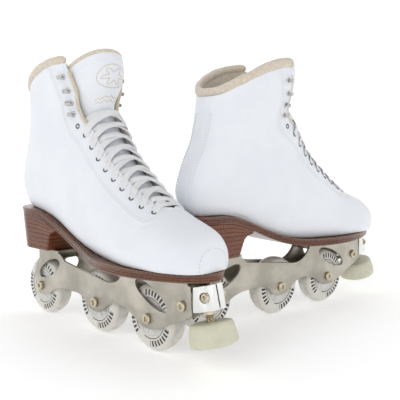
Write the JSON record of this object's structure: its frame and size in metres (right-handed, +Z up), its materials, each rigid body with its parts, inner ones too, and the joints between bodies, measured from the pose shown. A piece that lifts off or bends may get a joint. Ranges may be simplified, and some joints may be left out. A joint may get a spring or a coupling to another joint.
{
  "type": "inline figure skates",
  "caption": "Pair of white leather high-cut boots with brown heels on in-line wheel frames with adjustable toe stops.",
  "frame": {"origin": "on the floor under the middle of the pair's bounding box", "axes": "+Z up; the left boot points between +X and -Y, the right boot between +X and +Y"},
  "size_m": [0.441, 0.3308, 0.2944],
  "materials": {
    "white_leather": "satin",
    "beige_lining": "soft",
    "lace_fabric": "woven",
    "sole_leather": "waxed",
    "heel_leather": "waxed",
    "frame_aluminium": "satin",
    "polished_chrome": "polished",
    "plated_steel": "plated",
    "bearing_steel": "satin",
    "wheel_urethane": "satin",
    "hub_nylon": "matte",
    "stop_rubber": "matte"
  },
  "bodies": {
    "left_skate": {"left_leather_upper": "white_leather", "left_tongue": "white_leather", "left_padded_collar": "beige_lining", "left_footbed": "beige_lining", "left_lace": "lace_fabric", "left_outsole": "sole_leather", "left_stacked_heel": "heel_leather", "left_lateral_side_plate": "frame_aluminium", "left_medial_side_plate": "frame_aluminium", "left_heel_mounting_plate": "frame_aluminium", "left_sole_mounting_plate": "frame_aluminium", "left_stop_clamp_bracket": "polished_chrome", "left_bracket_bolt": "plated_steel", "left_clamp_bolt": "plated_steel", "left_stop_jam_nut": "plated_steel", "left_rear_axle": "plated_steel", "left_middle_axle": "plated_steel", "left_front_axle": "plated_steel"},
    "right_skate": {"right_leather_upper": "white_leather", "right_tongue": "white_leather", "right_padded_collar": "beige_lining", "right_footbed": "beige_lining", "right_lace": "lace_fabric", "right_outsole": "sole_leather", "right_stacked_heel": "heel_leather", "right_lateral_side_plate": "frame_aluminium", "right_medial_side_plate": "frame_aluminium", "right_heel_mounting_plate": "frame_aluminium", "right_sole_mounting_plate": "frame_aluminium", "right_stop_clamp_bracket": "polished_chrome", "right_bracket_bolt": "plated_steel", "right_clamp_bolt": "plated_steel", "right_stop_jam_nut": "plated_steel", "right_rear_axle": "plated_steel", "right_middle_axle": "plated_steel", "right_front_axle": "plated_steel"},
    "left_rear_wheel": {"left_rear_tyre": "wheel_urethane", "left_rear_hub": "hub_nylon", "left_rear_bearings": "bearing_steel"},
    "left_middle_wheel": {"left_middle_tyre": "wheel_urethane", "left_middle_hub": "hub_nylon", "left_middle_bearings": "bearing_steel"},
    "left_front_wheel": {"left_front_tyre": "wheel_urethane", "left_front_hub": "hub_nylon", "left_front_bearings": "bearing_steel"},
    "left_toe_stop": {"left_toe_stop_stem": "plated_steel", "left_toe_stop_pad": "stop_rubber"},
    "right_rear_wheel": {"right_rear_tyre": "wheel_urethane", "right_rear_hub": "hub_nylon", "right_rear_bearings": "bearing_steel"},
    "right_middle_wheel": {"right_middle_tyre": "wheel_urethane", "right_middle_hub": "hub_nylon", "right_middle_bearings": "bearing_steel"},
    "right_front_wheel": {"right_front_tyre": "wheel_urethane", "right_front_hub": "hub_nylon", "right_front_bearings": "bearing_steel"},
    "right_toe_stop": {"right_toe_stop_stem": "plated_steel", "right_toe_stop_pad": "stop_rubber"}
  },
  "joints": [
    {"name": "right_skate_roll", "type": "slide", "parent": "left_skate", "child": "right_skate", "axis": [0.7683, 0.6401, 0], "range_m": [0, 0.35]},
    {"name": "left_rear_wheel_spin", "type": "hinge", "parent": "left_skate", "child": "left_rear_wheel", "pos_m": [-0.19027, 0.0447, 0.03358], "axis": [0.7009, 0.7133, 0], "continuous": true},
    {"name": "left_middle_wheel_spin", "type": "hinge", "parent": "left_skate", "child": "left_middle_wheel", "pos_m": [-0.11467, -0.0296, 0.03358], "axis": [0.7009, 0.7133, 0], "continuous": true},
    {"name": "left_front_wheel_spin", "type": "hinge", "parent": "left_skate", "child": "left_front_wheel", "pos_m": [-0.05404, -0.08918, 0.03358], "axis": [0.7009, 0.7133, 0], "continuous": true},
    {"name": "left_toe_stop_height", "type": "slide", "parent": "left_skate", "child": "left_toe_stop", "axis": [-0.1726, 0.1696, 0.9703], "range_m": [-0.01, 0.004]},
    {"name": "right_rear_wheel_spin", "type": "hinge", "parent": "right_skate", "child": "right_rear_wheel", "pos_m": [-0.00771, -0.02865, 0.03358], "axis": [0.6401, -0.7683, 0], "continuous": true},
    {"name": "right_middle_wheel_spin", "type": "hinge", "parent": "right_skate", "child": "right_middle_wheel", "pos_m": [0.07373, 0.0392, 0.03358], "axis": [0.6401, -0.7683, 0], "continuous": true},
    {"name": "right_front_wheel_spin", "type": "hinge", "parent": "right_skate", "child": "right_front_wheel", "pos_m": [0.13904, 0.09361, 0.03358], "axis": [0.6401, -0.7683, 0], "continuous": true},
    {"name": "right_toe_stop_height", "type": "slide", "parent": "right_skate", "child": "right_toe_stop", "axis": [-0.1859, -0.1549, 0.9703], "range_m": [-0.01, 0.004]}
  ]
}
